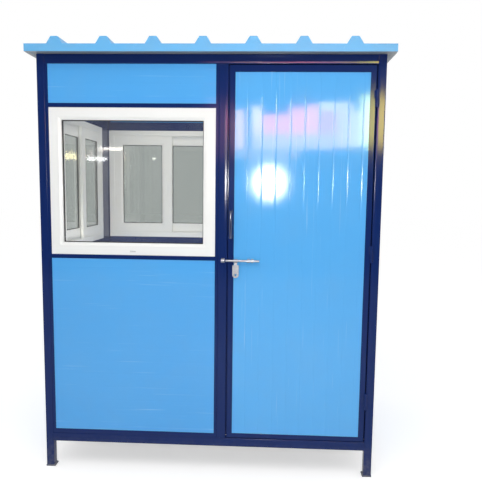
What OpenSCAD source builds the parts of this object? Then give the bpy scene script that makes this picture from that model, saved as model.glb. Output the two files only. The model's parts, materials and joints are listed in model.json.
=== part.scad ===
// Security guard booth: a portable steel cabin on four short legs. Square tubes carry
// sandwich panels in edge channels, plastic windows, a hinged door with a pull handle
// and a sliding bolt, and a ribbed roof panel. Origin on the ground under the middle
// of the plan, +X to the right of the door side, +Y away from the front, +Z up.

/* [Cabin] */
// Outside width across the corner posts
cabin_w = 1830; // [1600:10:2400]
// Outside depth across the corner posts
cabin_d = 1220; // [1100:10:1800]
// Height of the steel frame, base beams to top beams
frame_h = 2125; // [1900:1:2400]
// Clear height of the legs under the base beams
leg_h = 150; // [80:1:300]
// Clear width of the door bay between mullion and right post
door_bay_w = 769; // [680:1:850]

/* [Steel frame] */
// Side of the square posts, also the depth of the beams and mullions
tube = 44; // [40:1:60]
// Height of the beams
beam_h = 50; // [40:1:70]
// Width of the mullions between two bays
mullion_w = 50; // [40:1:70]
// Outside corner radius of the tubes
tube_r = 5; // [3:0.5:8]
// Side of the square foot plates
foot_w = 52; // [48:1:120]
// Thickness of the foot plates
foot_t = 8; // [5:1:15]
// How far a foot plate reaches past the outer faces of its post
foot_lip = 2; // [1:1:10]

/* [Floor] */
// Number of joists between the front and rear base beams
joist_count = 4; // [2:1:6]
// Thickness of the floor board
floor_t = 18; // [12:1:30]
// Gap between the floor board and the inner faces of the posts
floor_gap = 1; // [0.5:0.5:4]

/* [Walls] */
// Thickness of the sandwich panels
panel_t = 40; // [30:1:50]
// Sheet thickness of the edge channels that grip the panels
channel_t = 1.5; // [1:0.5:3]
// Width of a channel that shows beside a panel
channel_lip = 15; // [6:1:25]
// Height of the channel under the lower panels
base_channel_h = 25; // [15:1:40]
// Height of the rails above and below a window
rail_h = 22; // [12:1:30]
// Height of the flange that backs each rail on the inside
rail_flange_h = 60; // [30:1:90]
// Thickness of that flange
rail_flange_t = 4; // [2:0.5:6]
// Height of the panels over the windows
upper_panel_h = 202; // [120:1:400]
// Distance between the grooves rolled into the panel faces
groove_pitch = 75; // [40:1:150]
// Width of a groove
groove_w = 9; // [4:0.5:15]
// Depth of a groove
groove_depth = 0.25; // [0.1:0.05:3]
// First groove of the door panel, from the lock side of the panel
door_groove_start = 67; // [20:1:75]

/* [Windows] */
// Height of all the windows
window_h = 784; // [600:1:900]
// Set-back of the window frames behind the face of the tubes
window_recess = 2; // [1:0.5:4]
// Depth of all the window frames
window_d = 48; // [46:1:58]
// Width of the uprights beside the side windows
side_jamb = 178; // [15:1:220]
// Width of the upright between the rear window and its corner post
rear_jamb_post = 5; // [4:1:60]
// Width of the upright between the rear window and the mullion
rear_jamb_mullion = 52; // [15:1:100]
// Lap of the mitred corners over each other
mitre_lap = 1; // [0.5:0.5:2]
// Glass thickness
glass_t = 6; // [4:1:8]
// How far the glass reaches into its groove
glass_bite = 12; // [6:1:15]
// Visible width of the fixed front frame
fixed_face = 65; // [45:1:80]
// Width of the sloped edge beside the glass, part of the visible width
bevel_w = 16; // [10:1:20]
// Fall of that slope towards the glass of the fixed window
fixed_fall = 6; // [2:1:8]
// Fall of that slope towards the glass of a sash
sash_fall = 3; // [1:0.5:4]
// Visible width of the outer frame of a sliding window
slider_face = 38; // [30:1:70]
// Walls beside and between the two tracks of a sliding window
track_wall = 4; // [3:0.5:5]
// Depth of a track
track_depth = 10; // [6:1:15]
// Visible width of a sash
sash_face = 74; // [50:1:90]
// Play of a sash on each side in its track
sash_play = 0.5; // [0.3:0.1:1]
// Lift that lets a sash be taken out of its track
sash_lift = 3; // [1:1:5]

/* [Roof] */
// Thickness of the roof panel between its ribs
roof_t = 37; // [30:1:60]
// Height of the ribs
rib_h = 38; // [20:1:50]
// Distance between ribs
rib_pitch = 256; // [200:1:330]
// Width of a rib at its foot
rib_foot = 86; // [60:1:110]
// Width of a rib at its crest
rib_crest = 38; // [20:1:50]
// Sideways place of the middle rib
rib_shift = -26; // [-60:1:60]
// Roof overhang past the side walls, without the trim
roof_side = 38; // [20:1:80]
// Roof overhang past the front and rear walls, without the trim
roof_end = 60; // [55:1:120]
// Sheet thickness of the roof trims
trim_t = 2; // [1:0.5:4]
// Width of the trims' lips under the roof panel
trim_lip = 24; // [12:1:30]

/* [Door] */
// Gap all round the door leaf
door_gap = 5; // [5:0.5:8]
// Thickness of the door leaf
door_t = 39; // [34:1:42]
// Visible width of the leaf's stiles
door_stile = 31; // [26:1:45]
// Visible height of the leaf's top rail
door_top_rail = 35; // [25:1:60]
// Visible height of the leaf's bottom rail
door_bottom_rail = 24; // [20:1:60]
// Set-back of the door panel behind both faces of the leaf
door_panel_recess = 2; // [1:0.5:4]
// Width of the stop strips behind the leaf
stop_w = 25; // [15:1:40]
// Thickness of the stop strips
stop_t = 5; // [3:1:10]
// Lap of the stop strips behind the mullion and the top beam
stop_lap = 20; // [10:1:40]
// Gap between the leaf and the stop strips
stop_gap = 5; // [5:0.5:6]

/* [Hinges] */
// Radius of the hinge barrels
barrel_r = 8; // [7:0.5:10]
// Radius of the hinge pins
pin_r = 5; // [3:0.5:6]
// Length of one half of a hinge barrel
barrel_half = 45; // [30:1:60]
// Clearance between barrels and the rounded edges beside them
barrel_clear = 0.4; // [0.3:0.1:1]
// Closed end of a sleeve over its pin
sleeve_cap = 5; // [3:1:8]
// Gap over the end of a pin
pin_end_gap = 2; // [1:0.5:4]
// Radial play of a pin in its sleeve
pin_play = 0.06; // [0.02:0.01:0.1]
// Gap between the two halves of a barrel
half_gap = 0.4; // [0.3:0.1:1]
// Width of the weld bead beside a barrel
weld_w = 6; // [4:1:10]
// Depth that a weld bead bites into its barrel
weld_bite = 1; // [0.5:0.5:2]
// Middle of the bottom hinge above the foot of the leaf
hinge_bottom = 230; // [120:1:400]
// Middle of the top hinge below the top of the leaf
hinge_top = 167; // [120:1:400]

/* [Handle] */
// Middle of the pull handle above the foot of the leaf
handle_z = 1186; // [900:1:1300]
// Length of the handle over its round plates
handle_l = 155; // [120:1:220]
// Diameter of the grip at its middle
handle_w = 18; // [16:1:24]
// Diameter of the grip at its ends, and of the two necks
handle_neck = 11; // [8:1:14]
// Diameter of the ball at each end of the grip
handle_ball = 16; // [14:1:20]
// Reach of the grip in front of the door
handle_reach = 46; // [40:1:54]
// Diameter of the round plates
handle_foot = 22; // [18:1:26]
// Thickness of the round plates
handle_t = 4; // [2:0.5:6]

/* [Bolt] */
// Height of the bolt rod above the foot of the leaf
rod_z = 993; // [800:1:1040]
// Radius of the bolt rod
rod_r = 6; // [5:0.5:8]
// Length of the bolt rod
rod_l = 182; // [175:1:230]
// Rod axis in front of the leaf's face
rod_out = 14; // [13:0.5:20]
// Play of the rod in its guides
rod_play = 0.3; // [0.2:0.1:0.6]
// Play of the rod in its keeper
keeper_play = 2; // [1:0.5:3]
// Sheet thickness of the guides and the keeper
guide_t = 3; // [2:0.5:4]
// Width of a guide along the rod
guide_w = 14; // [10:1:18]
// First guide from the lock edge of the leaf
guide_edge = 105; // [95:1:120]
// Distance from one guide to the next
guide_pitch = 20; // [19:1:40]
// Number of guides
guide_count = 2; // [2:1:3]
// Width of the keeper along the rod
keeper_w = 18; // [10:1:22]
// Keeper from the door edge of the mullion
keeper_edge = 12; // [10:1:20]
// Gap between the drawn rod and the keeper
keeper_clear = 5; // [5:1:10]
// How far the thrown rod passes the keeper
rod_past = 3; // [2:1:12]

/* [Hasp] */
// Eye of the hasp from the lock edge of the leaf when the rod is thrown
eye_edge = 9; // [6:1:30]
// Outer radius of the eye on the rod
eye_r = 10; // [9:0.5:13]
// Length of the eye along the rod
eye_w = 16; // [12:1:20]
// Radial play of the eye on the rod
eye_play = 0.06; // [0.02:0.01:0.1]
// Width of the collars on the rod that hold the eye in place
collar_w = 3; // [2:0.5:5]
// Gap between the eye and the collars
collar_gap = 0.4; // [0.3:0.1:1]
// Collar radius over the rod's radius
collar_rise = 2.5; // [1:0.5:4]
// Length from the rod axis to the middle of the padlock hole
hasp_l = 76; // [60:1:95]
// Width of the hasp's tongue, also its round end
hasp_w = 34; // [26:1:40]
// Thickness of the hasp
hasp_t = 5; // [3:0.5:6]
// Length of the hasp's narrow neck from the rod axis
hasp_neck = 24; // [18:1:40]
// Radius of the padlock hole
lock_r = 6; // [4:0.5:8]

/* [Hidden] */
$fn = 64;
navy = "#26346B";
sky = "#5FB1EE";
white = "#F2F3F3";
clear = "#BFD6DC80";
zinc = "#B9BCC0";
grey = "#8C8F92";
past = 1;

half_w = cabin_w / 2;
half_d = cabin_d / 2;
bay_left = -half_w + tube;
door_right = half_w - tube;
door_left = door_right - door_bay_w;
bay_right = door_left - mullion_w;
side_half = half_d - tube;

z_base = leg_h + beam_h;
z_low = z_base + base_channel_h;
z_frame = leg_h + frame_h;
z_top = z_frame - beam_h;
z_up = z_top - upper_panel_h;
z_head = z_up - rail_h;
z_win = z_head - window_h;
z_sill = z_win - rail_h;

channel_d = panel_t + 2 * channel_t;
channel_recess = tube - channel_d;
panel_bite = channel_lip - channel_t;
groove_r = (groove_w * groove_w / 4 + groove_depth * groove_depth) / (2 * groove_depth);
stop_front = max(tube, door_t + stop_gap);
wall_in = stop_front + stop_t;
flange_end = max(rail_flange_t, wall_in - tube) + past;
front_window = [bay_left + channel_lip, bay_right - channel_lip];
side_window = [-side_half + side_jamb, side_half - side_jamb];
rear_window = [-bay_right + rear_jamb_mullion, -bay_left - rear_jamb_post];
track_w = (window_d - 3 * track_wall) / 2;
track_bed = slider_face - track_depth;
sash_d = track_w - 2 * sash_play;
sash_h = window_h - 2 * track_bed - sash_lift;
function sash_width(w) = (w[1] - w[0] - 2 * track_bed + sash_face) / 2;
rib_count = 2 * floor((half_w + roof_side - rib_foot / 2 - abs(rib_shift)) / rib_pitch) + 1;

leaf_left = door_left + door_gap;
leaf_right = door_right - door_gap;
leaf_foot = z_base + door_gap;
leaf_top = z_top - door_gap;
leaf_panel_left = leaf_left + door_stile;

edge_x = door_gap / 2 + tube_r;
edge_y = sqrt(pow(barrel_r + tube_r + barrel_clear, 2) - pow(edge_x, 2));
hinge_x = door_right - door_gap / 2;
hinge_y = -half_d + tube_r - edge_y;
face_y = -half_d - hinge_y;
hinge_low = leaf_foot + hinge_bottom;
hinge_high = leaf_top - hinge_top;
hinge_heights = [hinge_low, (hinge_low + hinge_high) / 2, hinge_high];

bolt_z = leaf_foot + rod_z;
bolt_y = -half_d - rod_out;
keeper_right = door_left - keeper_edge;
rod_tip = keeper_right + keeper_clear;
bolt_throw = keeper_clear + keeper_w + rod_past;
guide_left = leaf_left + guide_edge;
eye_left = leaf_left + eye_edge + bolt_throw;

// Tube section with rounded corners, its corner at the origin
module tube_section(w, h) {
    translate([tube_r, 0]) square([w - 2 * tube_r, h]);
    translate([0, tube_r]) square([w, h - 2 * tube_r]);
    for (x = [tube_r, w - tube_r], y = [tube_r, h - tube_r])
        translate([x, y]) circle(r = tube_r);
}

// Tube standing on its end, from its low corner
module upright(x, y, z, w, length)
    translate([x, y, z]) linear_extrude(length) tube_section(w, tube);

// Beam lying along X, from its low corner
module beam_x(x, y, z, length)
    translate([x, y, z]) rotate([90, 0, 90]) linear_extrude(length) tube_section(tube, beam_h);

// Beam lying along Y, from its low corner
module beam_y(x, y, z, length)
    translate([x, y + length, z]) rotate([90, 0, 0]) linear_extrude(length)
        tube_section(tube, beam_h);

// Turns a piece drawn on the front wall, X along it and Y inwards, on to a wall
module on_wall(side) {
    if (side == "front") translate([0, -half_d, 0]) children();
    if (side == "rear") translate([0, half_d, 0]) rotate(180) children();
    if (side == "left") translate([-half_w, 0, 0]) rotate(-90) children();
    if (side == "right") translate([half_w, 0, 0]) rotate(90) children();
}

// Section across a wall, first value inwards and second upwards, drawn along X
module along_x(x, length)
    translate([x, 0, 0]) rotate([90, 0, 90]) linear_extrude(length) children();

// One side of a window frame: a section swept along X, its ends cut at 45 degrees a lap
// past the mitre. The section's points are a distance in from the frame's edge and a depth
module mitred_side(length, depth, face, section)
    intersection() {
        along_x(0, length) polygon([for (p = section) [p[1], p[0]]]);
        translate([0, depth, 0]) rotate([90, 0, 0]) linear_extrude(depth)
            polygon([[0, 0], [length, 0], [length, mitre_lap],
                [length - face + mitre_lap, face], [face - mitre_lap, face], [0, mitre_lap]]);
    }

// Four mitred sides welded into a frame, its low corner at x and z
module mitred_frame(x, z, w, h, depth, face, section)
    translate([x, 0, z]) {
        mitred_side(w, depth, face, section);
        translate([w, 0, h]) rotate([0, 180, 0]) mitred_side(w, depth, face, section);
        translate([0, 0, h]) rotate([0, 90, 0]) mitred_side(h, depth, face, section);
        translate([w, 0, 0]) rotate([0, -90, 0]) mitred_side(h, depth, face, section);
    }

// Section of a frame that holds glass in a groove, sloped beside it on both sides
function glazed_section(face, depth, fall) = [[0, 0], [face - bevel_w, 0], [face, fall],
    [face, (depth - glass_t) / 2], [face - glass_bite, (depth - glass_t) / 2],
    [face - glass_bite, (depth + glass_t) / 2], [face, (depth + glass_t) / 2],
    [face, depth - fall], [face - bevel_w, depth], [0, depth]];

// Section of a sliding window's outer frame with two tracks
track_section = [[0, 0], [slider_face, 0], [slider_face, track_wall], [track_bed, track_wall],
    [track_bed, track_wall + track_w], [slider_face, track_wall + track_w],
    [slider_face, 2 * track_wall + track_w], [track_bed, 2 * track_wall + track_w],
    [track_bed, window_d - track_wall], [slider_face, window_d - track_wall],
    [slider_face, window_d], [0, window_d]];

// Corner post that runs down to its foot plate as a leg
module corner_post(right, rear)
    color(navy) upright(right ? door_right : -half_w, rear ? side_half : -half_d, foot_t,
        tube, z_frame - foot_t);

// Uprights between the bays of the front and rear walls
module mullions()
    color(navy) for (y = [-half_d, side_half])
        upright(bay_right, y, z_base, mullion_w, z_top - z_base);

module long_beams(z)
    color(navy) for (y = [-half_d, side_half]) beam_x(bay_left, y, z, door_right - bay_left);

module side_beams(z)
    color(navy) for (x = [-half_w, door_right]) beam_y(x, -side_half, z, 2 * side_half);

// Plates under the legs, reaching inwards
module foot_plates()
    color(navy) for (sx = [-1, 1], sy = [-1, 1])
        translate([sx * (half_w + foot_lip - foot_w / 2), sy * (half_d + foot_lip - foot_w / 2),
            foot_t / 2])
            cube([foot_w, foot_w, foot_t], center = true);

// Joists evenly spaced between the side beams
module floor_joists()
    color(navy) for (i = [1:joist_count])
        beam_y(-door_right + i * 2 * door_right / (joist_count + 1) - tube / 2, -side_half,
            leg_h, 2 * side_half);

module floor_board()
    color(grey) translate([-half_w + wall_in + floor_gap, -half_d + wall_in + floor_gap, z_base])
        cube([cabin_w - 2 * (wall_in + floor_gap), cabin_d - 2 * (wall_in + floor_gap), floor_t]);

// Edge channels of one bay: U-shaped strips at the sides and under the panels, and where
// there is a window, from w[0] to w[1], uprights beside it and rails above and below it,
// each rail backed by a flange on the inside that stops short of the pieces in the corner
module bay_channel(x0, x1, w) {
    window = len(w) > 0;
    panels = window ? [[z_low, z_sill], [z_up, z_top]] : [[z_low, z_top]];
    color(navy) difference() {
        union() {
            translate([x0, channel_recess, z_base]) cube([x1 - x0, channel_d, z_top - z_base]);
            if (window) for (z = [z_win - rail_flange_h, z_head])
                translate([x0 + flange_end, tube, z])
                    cube([x1 - x0 - 2 * flange_end, rail_flange_t, rail_flange_h]);
        }
        if (window) translate([w[0], channel_recess - past, z_win])
            cube([w[1] - w[0], channel_d + 2 * past, window_h]);
        for (p = panels)
            translate([x0 + channel_lip, channel_recess - past, p[0]])
                cube([x1 - x0 - 2 * channel_lip, channel_d + past,
                    p[1] - p[0] + (p[1] == z_top ? past : 0)]);
        for (p = panels)
            translate([x0 + channel_t, channel_recess + channel_t, p[0] - panel_bite])
                cube([x1 - x0 - 2 * channel_t, panel_t, p[1] - p[0] + 2 * panel_bite]);
    }
}

// Round groove cut into the two faces of a panel, first value across it and second along it
module groove(thickness)
    for (x = [groove_depth - groove_r, thickness - groove_depth + groove_r])
        translate([x, 0]) circle(r = groove_r);

// Sandwich panel with grooves rolled lengthwise into both faces, its edges in the channels
module wall_panel(x0, x1, low, high) {
    foot = low - panel_bite;
    head = high == z_top ? z_top : high + panel_bite;
    color(sky) along_x(x0 + channel_t, x1 - x0 - 2 * channel_t)
        translate([channel_recess + channel_t, foot]) difference() {
            square([panel_t, head - foot]);
            for (z = [groove_pitch / 2:groove_pitch:head - foot - groove_w])
                translate([0, z]) groove(panel_t);
        }
}

module window_bay_panels(x0, x1) {
    wall_panel(x0, x1, z_low, z_sill);
    wall_panel(x0, x1, z_up, z_top);
}

// Fixed window frame with its groove for the glass
module fixed_frame(w)
    color(white) translate([0, window_recess, 0])
        mitred_frame(w[0], z_win, w[1] - w[0], window_h, window_d, fixed_face,
            glazed_section(fixed_face, window_d, fixed_fall));

module fixed_glass(w) {
    edge = fixed_face - glass_bite;
    color(clear) translate([w[0] + edge, window_recess + (window_d - glass_t) / 2, z_win + edge])
        cube([w[1] - w[0] - 2 * edge, glass_t, window_h - 2 * edge]);
}

// Outer frame of a sliding window
module slider_frame(w)
    color(white) translate([0, window_recess, 0])
        mitred_frame(w[0], z_win, w[1] - w[0], window_h, window_d, slider_face, track_section);

// Places what is drawn once per sash: one in the outer track and one in the inner track,
// with their meeting stiles one behind the other. The outer one is the low or the high one
module each_sash(w, outer) {
    low = w[0] + track_bed;
    high = w[1] - track_bed - sash_width(w);
    outer_y = window_recess + track_wall + sash_play;
    inner_y = outer_y + track_w + track_wall;
    for (s = outer == "low" ? [[low, outer_y], [high, inner_y]] : [[low, inner_y], [high, outer_y]])
        translate([s[0], s[1], z_win + track_bed]) children();
}

module sashes(w, outer)
    color(white) each_sash(w, outer)
        mitred_frame(0, 0, sash_width(w), sash_h, sash_d, sash_face,
            glazed_section(sash_face, sash_d, sash_fall));

module sash_glass(w, outer) {
    edge = sash_face - glass_bite;
    color(clear) each_sash(w, outer) translate([edge, (sash_d - glass_t) / 2, edge])
        cube([sash_width(w) - 2 * edge, glass_t, sash_h - 2 * edge]);
}

// Ribbed roof panel, one section from front to rear
module roof_panel() {
    edge = half_w + roof_side;
    first = rib_shift - (rib_count - 1) / 2 * rib_pitch;
    ribs = [for (i = [0:rib_count - 1], p = [[-rib_foot, 0], [-rib_crest, rib_h],
        [rib_crest, rib_h], [rib_foot, 0]]) [first + i * rib_pitch + p[0] / 2, roof_t + p[1]]];
    color(sky) translate([0, half_d + roof_end, z_frame]) rotate([90, 0, 0])
        linear_extrude(2 * (half_d + roof_end))
            polygon(concat([[-edge, 0], [-edge, roof_t]], ribs, [[edge, roof_t], [edge, 0]]));
}

// Folded strip over the edge of the roof panel: a face and a lip under the panel
module trim_section(reach)
    translate([reach, -trim_t]) {
        square([trim_t, roof_t + trim_t]);
        translate([-trim_lip, 0]) square([trim_lip + trim_t, trim_t]);
    }

module eave_trims()
    color(sky) for (turn = [0, 180]) rotate(turn) translate([-half_w - roof_side, 0, z_frame])
        rotate([90, 0, 90]) linear_extrude(2 * (half_w + roof_side)) trim_section(half_d + roof_end);

module verge_trims() {
    run = half_d + roof_end - trim_lip - past;
    color(sky) for (turn = [0, 180]) rotate(turn) translate([0, run, z_frame])
        rotate([90, 0, 0]) linear_extrude(2 * run) trim_section(half_w + roof_side);
}

// Stop strips behind the leaf, beside and above it, lapped behind the mullion and the beam
module door_stop()
    color(navy) translate([door_left, -half_d + tube, z_base]) difference() {
        translate([-stop_lap, 0, 0])
            cube([door_bay_w + stop_lap, wall_in - tube, z_top - z_base + stop_lap]);
        translate([0, -past, -past])
            cube([door_bay_w + past, stop_front - tube + past, z_top - z_base + past]);
        translate([stop_w, -past, -past])
            cube([door_bay_w - 2 * stop_w, wall_in - tube + 2 * past,
                z_top - z_base - stop_w + past]);
    }

// Half of a hinge barrel standing on the origin, with a chamfered free end and the
// weld bead that joins it to the face beside it
module barrel(bore, side) {
    chamfer = barrel_r / 4;
    difference() {
        union() {
            cylinder(r = barrel_r, h = barrel_half - chamfer);
            translate([0, 0, barrel_half - chamfer])
                cylinder(r1 = barrel_r, r2 = barrel_r - chamfer, h = chamfer);
            linear_extrude(barrel_half - 2 * chamfer)
                polygon([[0, 0], [side * edge_x, face_y], [side * (edge_x + weld_w), face_y],
                    [side * (barrel_r - weld_bite), 0]]);
        }
        if (bore) translate([0, 0, -past])
            cylinder(r = pin_r + pin_play, h = barrel_half - sleeve_cap + past);
    }
}

module at_hinges() for (z = hinge_heights) translate([hinge_x, hinge_y, z]) children();

// Lower halves with their pins, welded to the right post
module hinge_pins()
    color(navy) at_hinges() {
        translate([0, 0, -half_gap / 2]) mirror([0, 0, 1]) barrel(false, 1);
        translate([0, 0, -half_gap / 2 - past])
            cylinder(r = pin_r, h = half_gap + past + barrel_half - sleeve_cap - pin_end_gap);
    }

// Upper halves that turn on the pins, welded to the leaf
module hinge_sleeves()
    color(navy) at_hinges() translate([0, 0, half_gap / 2]) barrel(true, -1);

// Leaf of welded tube, its upright edges rounded as the posts are
module door_frame()
    color(navy) difference() {
        translate([leaf_left, -half_d, leaf_foot]) linear_extrude(leaf_top - leaf_foot) {
            w = leaf_right - leaf_left;
            translate([tube_r, 0]) square([w - 2 * tube_r, door_t]);
            translate([0, tube_r]) square([w, door_t - 2 * tube_r]);
            for (x = [tube_r, w - tube_r], y = [tube_r, door_t - tube_r])
                translate([x, y]) circle(r = tube_r);
        }
        translate([leaf_panel_left, -half_d - past, leaf_foot + door_bottom_rail])
            cube([leaf_right - leaf_left - 2 * door_stile, door_t + 2 * past,
                leaf_top - leaf_foot - door_bottom_rail - door_top_rail]);
    }

// Door panel with upright grooves in both faces
module door_panel() {
    w = leaf_right - leaf_left - 2 * door_stile;
    t = door_t - 2 * door_panel_recess;
    color(sky) translate([leaf_panel_left, -half_d + door_panel_recess, leaf_foot + door_bottom_rail])
        linear_extrude(leaf_top - leaf_foot - door_bottom_rail - door_top_rail) difference() {
            square([w, t]);
            for (x = [door_groove_start:groove_pitch:w - groove_w])
                translate([x, t]) rotate(-90) groove(t);
        }
}

// Pull handle on the lock stile: a round grip that swells towards its middle, with a ball at
// each end, on two necks with round plates
module door_handle() {
    half_grip = (handle_l - handle_foot) / 2;
    swell = (handle_w - handle_neck) / 2;
    swell_r = (half_grip * half_grip + swell * swell) / (2 * swell);
    color(navy) translate([leaf_left + door_stile / 2, -half_d, leaf_foot + handle_z]) {
        translate([0, handle_w / 2 - handle_reach, 0]) {
            rotate_extrude() intersection() {
                translate([handle_w / 2 - swell_r, 0]) circle(r = swell_r, $fn = 256);
                translate([0, -half_grip]) square([handle_w, 2 * half_grip]);
            }
            for (z = [-half_grip, half_grip]) translate([0, 0, z]) sphere(d = handle_ball);
        }
        for (z = [-half_grip, half_grip]) translate([0, 0, z]) rotate([90, 0, 0]) {
            cylinder(d = handle_neck, h = handle_reach - handle_w / 2);
            cylinder(d = handle_foot, h = handle_t);
        }
    }
}

// Strap bent over the bolt rod, welded to a face by its two ends
module cleat(x, y, w, play) {
    out = y - bolt_y;
    inner = rod_r + play;
    outer = inner + guide_t;
    translate([0, y, bolt_z]) along_x(x, w) difference() {
        union() {
            translate([-out, 0]) circle(r = outer);
            translate([-out, -outer]) square([out, 2 * outer]);
        }
        translate([-out, 0]) circle(r = inner);
        translate([-out, -inner]) square([out + past, 2 * inner]);
    }
}

module bolt_keeper() color(zinc) cleat(keeper_right - keeper_w, -half_d, keeper_w, keeper_play);

// Guides side by side on the door panel
module bolt_guides()
    color(zinc) for (i = [0:guide_count - 1])
        cleat(guide_left + i * guide_pitch, -half_d + door_panel_recess, guide_w, rod_play);

// Drawn bolt rod with chamfered ends and the two collars beside the hasp's eye
module bolt_rod() {
    chamfer = rod_r / 4;
    color(zinc) translate([rod_tip, bolt_y, bolt_z]) rotate([0, 90, 0]) {
        translate([0, 0, chamfer]) cylinder(r = rod_r, h = rod_l - 2 * chamfer);
        cylinder(r1 = rod_r - chamfer, r2 = rod_r, h = chamfer);
        translate([0, 0, rod_l - chamfer]) cylinder(r1 = rod_r, r2 = rod_r - chamfer, h = chamfer);
        for (x = [eye_left - collar_gap - collar_w, eye_left + eye_w + collar_gap])
            translate([0, 0, x - rod_tip]) cylinder(r = rod_r + collar_rise, h = collar_w);
    }
}

// Hasp hanging from the rod by its eye, with a padlock hole in its round end
module bolt_hasp()
    color(zinc) translate([eye_left, bolt_y, bolt_z]) difference() {
        union() {
            rotate([0, 90, 0]) cylinder(r = eye_r, h = eye_w);
            translate([eye_w / 2, hasp_t / 2, 0]) rotate([90, 0, 0]) linear_extrude(hasp_t) {
                translate([-eye_w / 2, -hasp_neck - past]) square([eye_w, hasp_neck + past]);
                translate([-hasp_w / 2, -hasp_l]) square([hasp_w, hasp_l - hasp_neck]);
                translate([0, -hasp_l]) circle(r = hasp_w / 2);
            }
        }
        translate([-past, 0, 0]) rotate([0, 90, 0])
            cylinder(r = rod_r + eye_play, h = eye_w + 2 * past);
        translate([eye_w / 2, hasp_t, -hasp_l]) rotate([90, 0, 0])
            cylinder(r = lock_r, h = 2 * hasp_t);
    }

corner_post(false, false);  // corner_post_front_left
corner_post(true, false);  // corner_post_front_right
corner_post(false, true);  // corner_post_rear_left
corner_post(true, true);  // corner_post_rear_right
mullions();
long_beams(leg_h);  // base_long_beams
side_beams(leg_h);  // base_side_beams
long_beams(z_top);  // top_long_beams
side_beams(z_top);  // top_side_beams
foot_plates();
floor_joists();
floor_board();
on_wall("front") bay_channel(bay_left, bay_right, front_window);  // front_channel
on_wall("left") bay_channel(-side_half, side_half, side_window);  // left_channel
on_wall("right") bay_channel(-side_half, side_half, side_window);  // right_channel
on_wall("rear") bay_channel(-bay_right, -bay_left, rear_window);  // rear_window_channel
on_wall("rear") bay_channel(-door_right, -door_left, []);  // rear_panel_channel
on_wall("front") window_bay_panels(bay_left, bay_right);  // front_wall_panels
on_wall("left") window_bay_panels(-side_half, side_half);  // left_wall_panels
on_wall("right") window_bay_panels(-side_half, side_half);  // right_wall_panels
on_wall("rear") {  // rear_wall_panels
    window_bay_panels(-bay_right, -bay_left);
    wall_panel(-door_right, -door_left, z_low, z_top);
}
on_wall("front") fixed_frame(front_window);  // front_window_frame
on_wall("front") fixed_glass(front_window);  // front_window_glass
on_wall("left") slider_frame(side_window);  // left_window_frame
on_wall("left") sashes(side_window, "high");  // left_window_sashes
on_wall("left") sash_glass(side_window, "high");  // left_window_glass
on_wall("right") slider_frame(side_window);  // right_window_frame
on_wall("right") sashes(side_window, "low");  // right_window_sashes
on_wall("right") sash_glass(side_window, "low");  // right_window_glass
on_wall("rear") slider_frame(rear_window);  // rear_window_frame
on_wall("rear") sashes(rear_window, "low");  // rear_window_sashes
on_wall("rear") sash_glass(rear_window, "low");  // rear_window_glass
roof_panel();
eave_trims();
verge_trims();
door_stop();
hinge_pins();
bolt_keeper();
door_frame();
door_panel();
door_handle();
bolt_guides();
hinge_sleeves();
bolt_rod();
bolt_hasp();
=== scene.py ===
# %% [markdown]
# # A portable steel guard booth
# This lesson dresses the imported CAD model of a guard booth: a cabin of square steel tube with
# sky-blue sandwich panels, white plastic windows, a ribbed roof and one door with a sliding bolt.
# The CAD nodes stay where they are. Blender softens their edges, paints them, and adds the small
# things that a workshop leaves on such a booth: weld beads, seals, screws and drain caps.

# %% The frame
import json
from math import pi, radians
import bmesh
import bpy
from mathutils import Matrix, Vector

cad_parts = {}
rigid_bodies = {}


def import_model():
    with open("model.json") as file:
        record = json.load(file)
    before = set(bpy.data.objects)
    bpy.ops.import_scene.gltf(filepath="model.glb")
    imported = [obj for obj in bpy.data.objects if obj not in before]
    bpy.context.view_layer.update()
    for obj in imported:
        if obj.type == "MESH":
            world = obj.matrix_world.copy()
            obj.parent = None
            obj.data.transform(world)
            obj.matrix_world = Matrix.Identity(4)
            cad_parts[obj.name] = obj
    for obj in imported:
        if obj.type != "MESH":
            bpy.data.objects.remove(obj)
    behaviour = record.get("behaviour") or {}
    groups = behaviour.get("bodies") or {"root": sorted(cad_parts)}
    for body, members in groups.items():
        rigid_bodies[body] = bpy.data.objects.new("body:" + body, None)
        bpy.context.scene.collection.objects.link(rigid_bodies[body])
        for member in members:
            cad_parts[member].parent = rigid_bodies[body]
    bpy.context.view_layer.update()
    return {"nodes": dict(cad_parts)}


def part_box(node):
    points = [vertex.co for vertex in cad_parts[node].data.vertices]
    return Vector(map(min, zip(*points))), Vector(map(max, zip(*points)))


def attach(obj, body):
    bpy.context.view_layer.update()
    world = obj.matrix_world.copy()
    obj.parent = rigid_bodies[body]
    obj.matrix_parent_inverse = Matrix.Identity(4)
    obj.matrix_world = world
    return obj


for left_over in list(bpy.data.objects):
    bpy.data.objects.remove(left_over)
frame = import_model()
nodes = frame["nodes"]
MM = 0.001

# %% [markdown]
# ## The camera
# The photograph was taken by hand from a little right of the middle, at eye height. A camera can
# be moved until the picture fits by eye, but that takes long and never quite ends. Here its place
# and its three small turns were worked out from the corners of the steel frame. The lens is the
# one that gives the photograph's own field of view on a 36 mm sensor.

# %% Camera
EYE = Vector((0.312, -3.562, 1.579))
PAN = radians(2.61)
TILT = radians(-6.24)
ROLL = radians(-0.71)
bpy.ops.object.camera_add(location=EYE)
camera = bpy.context.object
camera.name = "photo_camera"
camera.data.lens = 39.89
camera.data.sensor_width = 36
turn = Matrix.Rotation(PAN, 4, "Z") @ Matrix.Rotation(TILT, 4, "X")
turn = turn @ Matrix.Rotation(ROLL, 4, "Y") @ Matrix.Rotation(radians(90), 4, "X")
camera.matrix_world = Matrix.Translation(EYE) @ turn
bpy.context.scene.camera = camera
print("camera at", tuple(EYE), "lens", camera.data.lens)

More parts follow.
